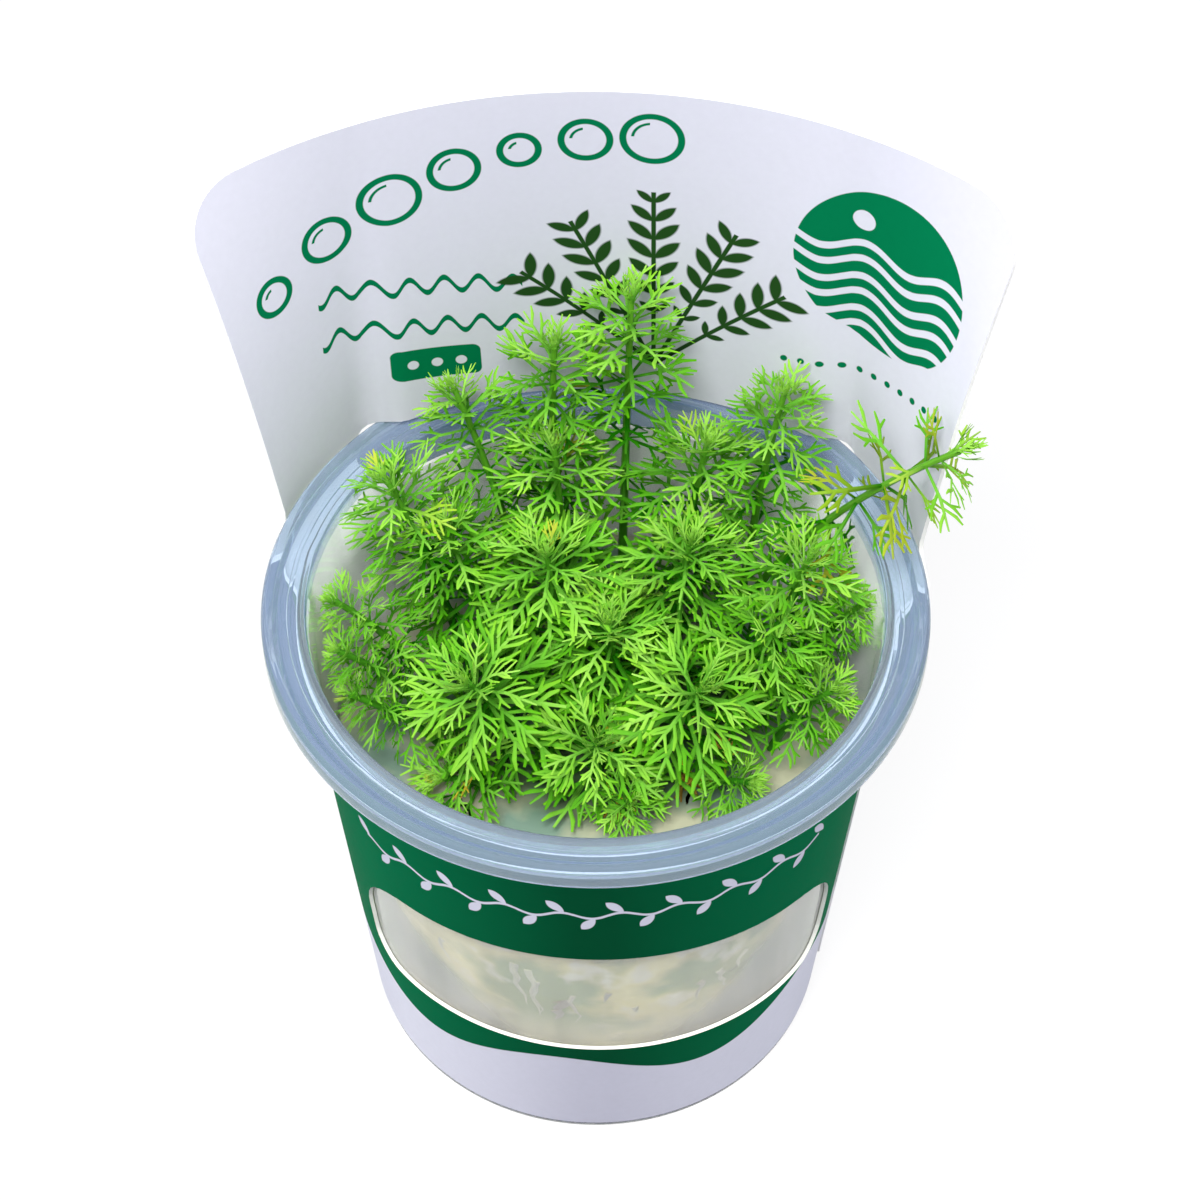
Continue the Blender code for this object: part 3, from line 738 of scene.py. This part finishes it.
# Stems: slender round stalks that root in the gel and lean out towards the light and over the rim.
# Foot and tip are in mm, with the reach of the leaves, the bare share of the length and how early
# the stem leans.
SHOOTS = (
    ((4, 29), (5, 33, 112), 8.5, 0.40, 0.45),
    ((-7, 27), (-6, 29.5, 106), 8.5, 0.35, 0.45),
    ((-10, 22), (-20.5, 29, 98), 7.5, 0.45, 0.35),
    ((-20, 14), (-30, 18, 90), 9, 0.35, 0.35),
    ((-4, 19), (-6, 22, 93), 9, 0.35, 0.45),
    ((22, 23), (27, 26, 100), 8, 0.40, 0.35),
    ((12, 21), (16, 24, 91), 9.5, 0.35, 0.40),
    ((18, 14), (50, 6, 110), 8, 0.62, 0.22),
    ((-14, 10), (-22, 14, 84), 10, 0.35, 0.35),
    ((-5, 9), (-7, 9, 84), 11, 0.30, 0.40),
    ((3, 2), (2, 1, 78), 10, 0.25, 0.40),
    ((-12, -3), (-18, -8, 76), 11, 0.25, 0.35),
    ((10, -4), (15, -9, 76), 11, 0.25, 0.35),
    ((19, 4), (26, -2, 80), 9, 0.30, 0.35),
    ((0, -8), (0, -12.5, 68), 10, 0.25, 0.40),
    ((25, 6), (30, 4.2, 88.6), 9, 0.35, 0.35),
    ((30, 8), (38, 2.5, 81), 5, 0.60, 0.30),
    ((-23, 5), (-37.5, 4, 80), 6, 0.55, 0.30),
    ((-22, 0), (-37, -2, 76), 6, 0.55, 0.30),
    ((-21, -5), (-35.5, -6, 71), 6, 0.55, 0.30),
    ((-15, -10), (-22, -14, 61.5), 8, 0.30, 0.40),
    ((4, -14), (5, -18, 61.5), 6, 0.35, 0.40),
    ((16, -10), (22, -15, 62), 6, 0.35, 0.40),
    ((26, -3), (34, -6, 72), 7, 0.45, 0.35),
    ((11, 11), (13.5, 11, 84), 10, 0.30, 0.40),
    ((2, 12), (4, 12, 72), 8, 0.35, 0.40),
)


def stem_line(shoot):
    """The stem's middle line, as a function of the share of its length."""
    foot, tip, _, _, lean = shoot
    start = Vector((*foot, (GEL_LEVEL + GAP) / MM)) * MM
    end = Vector(tip) * MM
    bend = start.lerp(end, lean)
    bend.z = start.z + 0.6 * (end.z - start.z)
    return lambda t: (1 - t) ** 2 * start + 2 * t * (1 - t) * bend + t * t * end


def blade(bm, path, widths, sides, thin=1.0, over=Vector((0, 0, 1))):
    """A slender stalk along a path, closed at both ends; thin flattens it along over."""
    ring = bmesh.ops.create_circle(bm, cap_ends=True, radius=1, segments=sides)["verts"]
    cap = next(face for face in ring[0].link_faces)
    spots = []
    for i, (point, width) in enumerate(zip(path, widths)):
        along = (path[min(i + 1, len(path) - 1)] - path[max(i - 1, 0)]).normalized()
        aside = over.cross(along).normalized()
        square = along.cross(aside)
        turn = Matrix((aside * width, square * width * thin, along)).transposed().to_4x4()
        spots.append(Matrix.Translation(point) @ turn)
    bmesh.ops.transform(bm, matrix=spots[0], verts=ring)
    for i, (low, high) in enumerate(zip(spots, spots[1:])):
        grown = bmesh.ops.extrude_face_region(bm, geom=[cap], use_keep_orig=i == 0)["geom"]
        cap = next(item for item in grown if isinstance(item, bmesh.types.BMFace))
        bmesh.ops.transform(bm, matrix=high @ low.inverted(), verts=list(cap.verts))


mottling, taken, given = new_group(
    "mottling",
    {"Place": "Vector", "Patches": "Float", "Depth": "Float"},
    {"Patch": "Float", "Normal": "Vector"},
)
patch = node(mottling, "TexNoise", {0: taken["Place"], "Scale": taken["Patches"], "Detail": 3})
feed(given["Patch"], patch.outputs[0])
feed(given["Normal"], relief(mottling, patch.outputs[0], 0.2, taken["Depth"]))


def add_mottling(tree, shader, place, patches, depth):
    """Lays small patches over a plant's skin, and gives where they are."""
    marks = {"Place": place, "Patches": patches, "Depth": depth}
    marks = node(tree, "Group", marks, node_tree=mottling).outputs
    feed(shader.inputs["Normal"], marks["Normal"])
    return Amount(marks["Patch"])


stalk, tree, shader, place = new_finish("stem_skin", 0.45, Specular_IOR_Level=0.15)
mottle = add_mottling(tree, shader, place, 300, 0.3)
height = Amount(node(tree, "SeparateXYZ", {0: place}).outputs[2])
colour = blend(tree, mottle, (0.010, 0.12, 0.004), (0.05, 0.26, 0.01))
young = height.share(0.06, 0.11) * 0.5
feed(shader.inputs["Base Color"], blend(tree, young, colour, (0.18, 0.44, 0.03)))
STEM_FOOT, STEM_TIP = 0.70 * MM, 0.46 * MM
for number, shoot in enumerate(SHOOTS, 1):
    line = stem_line(shoot)
    steps = max(10, round((line(1) - line(0)).length / (2.2 * MM)))
    path = [line(i / steps) for i in range(steps + 1)]
    widths = [STEM_FOOT + (STEM_TIP - STEM_FOOT) * i / steps for i in range(steps + 1)]
    bm = bmesh.new()
    blade(bm, path, widths, 8, over=Vector((0, 1, 0.01)))
    bmesh.ops.recalc_face_normals(bm, faces=bm.faces)
    add_piece(f"stem_piece_{number:02d}", bm, [stalk], nodes=[f"stem_{number:02d}"])

# Leaves: each ring holds four to seven feather-cut leaves, a pale rib with slender lobes that lean
# forwards. They are soft, and they bend where they meet the cup, the card or the gel.

# Each ring's distance from the tip in mm, its leaf length as a share of the reach, and how far its
# leaves stand up from square to the stem, in degrees.
RINGS = (
    (0.2, 0.36, 74),
    (0.9, 0.58, 58),
    (1.9, 0.84, 42),
    (3.3, 1.02, 28),
    (5.2, 1.10, 17),
    (7.6, 1.12, 8),
    (10.6, 1.10, 0),
    (14.2, 1.06, -6),
    (18.4, 1.0, -10),
    (23.2, 0.95, -14),
    (28.6, 0.9, -16),
    (34.6, 0.88, -18),
    (41.0, 0.85, -18),
)
draw = random.Random(41)


def feather(lobes, spread, broad=1.0):
    """A flat leaf one long, from its foot at the origin along +X, with each corner's rib share."""
    bm = bmesh.new()
    rib = [Vector(spot) for spot in ((0, 0, 0), (0.5, 0.005, 0.01), (1, -0.01, -0.02))]
    blade(bm, rib, (0.026 * broad, 0.032 * broad, 0.015 * broad), 3, 0.5)
    count = len(bm.verts)
    for i, (place, length) in enumerate(lobes):
        for hand in (-1, 1):
            start = place + 0.03 * hand * (-1) ** i + draw.uniform(-0.015, 0.015)
            size = length * draw.uniform(0.88, 1.12)
            lean = math.radians(spread - 3 * i + draw.uniform(-6, 6))
            lift = draw.uniform(-0.10, 0.18)
            away = Vector((math.cos(lean), hand * math.sin(lean), lift))
            foot = Vector((start, 0, 0))
            if i < 2:
                inward = Vector((math.cos(lean * 0.6), hand * math.sin(lean * 0.6), lift * 0.3))
                knee = foot + away * size * 0.6
                path, widths = [foot, knee, knee + inward * size * 0.42], (0.022, 0.029, 0.014)
            else:
                path, widths = [foot, foot + away * size], (0.028, 0.015)
            blade(bm, path, [width * broad for width in widths], 3, 0.4)
            if i == 0:
                lean += math.radians(draw.uniform(22, 34))
                spur = Vector((math.cos(lean), hand * math.sin(lean), lift * 0.5)) * size * 0.38
                low = foot.lerp(knee, draw.uniform(0.6, 0.85))
                blade(bm, [low, low + spur], (0.024 * broad, 0.014 * broad), 3, 0.4)
    bmesh.ops.recalc_face_normals(bm, faces=bm.faces)
    ribs = [max(0.0, 0.8 - 2.4 * abs(vert.co.y)) for vert in bm.verts]
    ribs[:count] = [1.0] * count
    mesh = bpy.data.meshes.new("feather")
    bm.to_mesh(mesh)
    bm.free()
    return mesh, ribs


full_lobes = ((0.37, 0.45), (0.54, 0.40), (0.72, 0.27))
coarse_lobes = ((0.46, 0.46), (0.68, 0.34))
full_feathers = [feather(full_lobes, spread) for spread in (42, 38, 46, 40)]
young_feathers = [feather(full_lobes, spread) for spread in (33, 28)]
coarse_feathers = [feather(coarse_lobes, spread, 1.25) for spread in (44, 40, 48)]

LEAF_ROOM = 0.5 * MM  # kept between a leaf and what it meets
LIP_INSIDE = 41.6 * MM
RIM_REACH = 39 * MM  # past this a leaf lies over the rim, if its ring does


def header_front(x, height):
    """How far back the header's face stands at this place."""
    low, high = -80.0, 80.0
    for _ in range(12):
        middle = (low + high) / 2
        if card_point(middle * PER_DEGREE, height, CARD_INSIDE).x < x:
            low = middle
        else:
            high = middle
    return card_point(low * PER_DEGREE, height, CARD_INSIDE).y


def keep_clear(point, beyond_rim):
    """Bends a point of a leaf off the cup's wall, the rim, the header and the gel."""
    point.z = max(point.z, GEL_LEVEL + 0.35 * MM)
    out = point.xy.length
    if beyond_rim and out > RIM_REACH:
        point.z = max(point.z, RIM_TOP + LEAF_ROOM)
    elif point.z < RIM_TOP + 0.4 * MM:
        most = min(wall_outside(point.z), LIP_INSIDE) - WALL - LEAF_ROOM
        if out > most:
            point.xy *= most / out
    if point.y > 22 * MM and point.z > 84 * MM:
        front = header_front(point.x, max(point.z, HEADER_BASE + 0.1 * MM))
        point.y = min(point.y, front - 0.6 * MM)


OVERHANG = 45 * MM  # a stem whose tip is further out hangs its leaves over the rim
leaf, tree, shader, place = new_finish("leaf_blade", 0.45, Specular_IOR_Level=0.02)
tone = node(tree, "Attribute", attribute_name="leaf_tone_and_shade").outputs["Color"]
parts = node(tree, "SeparateColor", {0: tone})
tint, ribbing, age = (Amount(parts.outputs[i]) for i in (0, 1, 2))
mottle = add_mottling(tree, shader, place, 420, 0.1)
# A leaf's tone runs from a dark green, which is partly painted shade deep in the foliage, to a pale
# yellow-green.
colour = blend(tree, tint.share(0.0, 0.5), (0.003, 0.11, 0.0002), (0.09, 0.38, 0.002))
colour = blend(tree, tint.share(0.5, 1.0), colour, (0.31, 0.64, 0.035))
colour = blend(tree, mottle * 0.2, colour, (0.06, 0.32, 0.001))
colour = blend(tree, ribbing * tint * 0.5, colour, (0.34, 0.62, 0.16))
colour = blend(tree, age.share(0.0, 0.5), colour, (0.66, 0.50, 0.04))
colour = blend(tree, age.share(0.5, 1.0), colour, (0.20, 0.09, 0.03))
feed(shader.inputs["Base Color"], colour)

for number, shoot in enumerate(SHOOTS, 1):
    line = stem_line(shoot)
    reach, bare = shoot[2], shoot[3]
    length = sum((line((i + 1) / 20) - line(i / 20)).length for i in range(20)) / MM
    overhangs = line(1).xy.length > OVERHANG
    spacing = 1.8 if overhangs else 1.0 + 0.6 * ease((line(1).z / MM - 88) / 8)
    bm = bmesh.new()
    tones = bm.verts.layers.float_color.new("leaf_tone_and_shade")
    phase = draw.uniform(0, math.tau)
    for ring, (down, size, rise) in enumerate(RINGS):
        down *= spacing
        if down > length * (1 - 0.75 * bare) + 1:
            break
        t = 1 - down / length
        heart = line(t)
        along = (line(min(t + 0.02, 1)) - line(min(t + 0.02, 1) - 0.04)).normalized()
        aside = along.orthogonal().normalized()
        count = 5 if ring < 2 else draw.choice((6, 6, 7))
        if overhangs:
            size, count = size * 1.15, 4
        phase += math.pi / count + draw.uniform(-0.15, 0.15)
        for k in range(count):
            kind = coarse_feathers if ring > 4 or spacing > 1.3 else full_feathers
            shape, ribs = draw.choice(young_feathers if ring < 2 else kind)
            swing = phase + math.tau * k / count + draw.uniform(-0.14, 0.14)
            outward = Matrix.Rotation(swing, 3, along) @ aside
            stand = math.radians(rise + draw.uniform(-9, 9))
            forward = outward * math.cos(stand) + along * math.sin(stand)
            if overhangs and ring > 1:
                forward = (forward - Vector((0, 0, 0.45))).normalized()
            across = along.cross(outward).normalized()
            across = (across + 0.35 * draw.uniform(-1, 1) * forward.cross(across)).normalized()
            over = forward.cross(across).normalized()
            scale = reach * size * draw.uniform(0.86, 1.12) * MM
            droop = draw.uniform(-0.9, 0.1) if ring > 1 else draw.uniform(-0.2, 0.7)
            # Leaves darken ring by ring away from the tip: partly paler young growth, partly
            # painted shade deeper in the foliage.
            tint = draw.gauss(max(0.10, 0.86 - 0.11 * ring), 0.14)
            age = 0.0
            if overhangs and ring > 1 and draw.random() < 0.3:
                age = draw.uniform(0.05, 0.25)
            elif heart.z < 60 * MM and draw.random() < 0.14:
                age = draw.uniform(0.4, 1.0)
            elif draw.random() < 0.01:
                age = draw.uniform(0.1, 0.3)
            beyond = heart.xy.length > RIM_REACH
            bm.from_mesh(shape)
            bm.verts.ensure_lookup_table()
            for vert, rib in zip(bm.verts[-len(ribs) :], ribs):
                x, y, z = vert.co
                bend = droop * x
                ahead, rise_by = x, 0
                if abs(droop) > 0.02:
                    ahead, rise_by = math.sin(bend) / droop, (1 - math.cos(bend)) / droop
                z += rise_by + 0.25 * y * y
                vert.co = heart + scale * (forward * (ahead + 0.04) + across * y + over * z)
                keep_clear(vert.co, beyond)
                # Each leaf is lighter towards its tip and darker at its foot: partly its own
                # colour, partly painted shade at the heart of the rosette.
                tone_and_shade = min(1, max(0, tint + 0.60 * (x - 0.5)))
                vert[tones] = (tone_and_shade, rib, age * min(1, x * 1.4), 1)
    add_piece(
        f"leaf_rings_{number:02d}", bm, [leaf], sharp=80, nodes=[f"leaves_{number:02d}"]
    )

# Roots: threads grown down into the gel from each stem's foot, and along the wall where the window
# shows them. Most are whitish, and a few have died back to brown.
bm = bmesh.new()
ages = bm.verts.layers.float_color.new("root_age")


def add_root(path, width, age, thin=1.0, over=Vector((0.3, 1, 0.1))):
    """A root along a path, tapering, with its age from whitish 0 to brown 1."""
    before = len(bm.verts)
    widths = [width * (1 - 0.7 * i / (len(path) - 1)) * MM for i in range(len(path))]
    blade(bm, path, widths, 6, thin, over)
    bm.verts.ensure_lookup_table()
    for vert in bm.verts[before:]:
        vert[ages] = (age, age, age, 1)


for shoot in SHOOTS:
    for k in range(3):
        spot = Vector((*shoot[0], 54.0)) * MM
        heading = Vector((draw.uniform(-1, 1), draw.uniform(-1, 0.5), -1.2)).normalized()
        path = [spot]
        for _ in range(9):
            stray = Vector([draw.uniform(-1, 1), draw.uniform(-1, 1), draw.uniform(-0.8, 0.4)])
            heading = (heading + 0.5 * stray).normalized()
            spot = spot + heading * 3.2 * MM
            most = gel_radius(spot.z) - 1.1 * MM
            if spot.xy.length > most:
                spot.xy *= most / spot.xy.length
            spot.z = min(max(spot.z, 3 * MM), GEL_LEVEL - 0.6 * MM)
            path.append(spot.copy())
        add_root(path, 0.42, draw.choice((0.0, 0.2, 0.8)))
# Along the wall: where each starts, in degrees from the front and mm up, how far it falls at each
# of its steps, its width in mm and its age.
for start, first, fall, steps, width, age in (
    (-18, 47, 1.7, 8, 0.8, 0.1),
    (-15, 46, 1.6, 9, 0.7, 0.0),
    (-13, 43, 1.6, 8, 0.6, 0.25),
    (-8, 38, 0.8, 6, 1.5, 0.95),
    (-9, 35, 0.9, 5, 1.0, 0.8),
    (-5, 40, 1.5, 7, 0.5, 0.5),
    (3, 41, 0.9, 4, 0.6, 0.7),
    (9, 36, 0.7, 4, 0.6, 0.5),
    (24, 39, 0.9, 8, 0.7, 0.45),
    (29, 40, 0.8, 9, 0.8, 0.1),
    (36, 42, 0.8, 7, 0.6, 0.0),
    (-36, 45, 1.2, 6, 0.6, 0.3),
):
    path = []
    around, height = start, first
    for _ in range(steps):
        out = gel_radius(height * MM) - 0.10 * MM
        turn = math.radians(around)
        path.append(Vector((out * math.sin(turn), -out * math.cos(turn), height * MM)))
        around += draw.uniform(-1.0, 1.2)
        height = max(height - fall * draw.uniform(0.8, 1.4), 4)
    add_root(path, width, age, 0.26 / width, Vector((math.sin(turn), -math.cos(turn), 0.05)))
bmesh.ops.recalc_face_normals(bm, faces=bm.faces)
root_skin, tree, shader, place = new_finish("root_skin", 0.5)
age = Amount(node(tree, "Attribute", attribute_name="root_age").outputs["Fac"])
fuzz = add_mottling(tree, shader, place, 500, 0.2)
colour = blend(tree, age, (0.50, 0.50, 0.30), (0.12, 0.06, 0.02))
feed(shader.inputs["Base Color"], blend(tree, fuzz * 0.4, colour, (0.46, 0.46, 0.26)))
add_piece("roots_in_gel", bm, [root_skin], sharp=80)
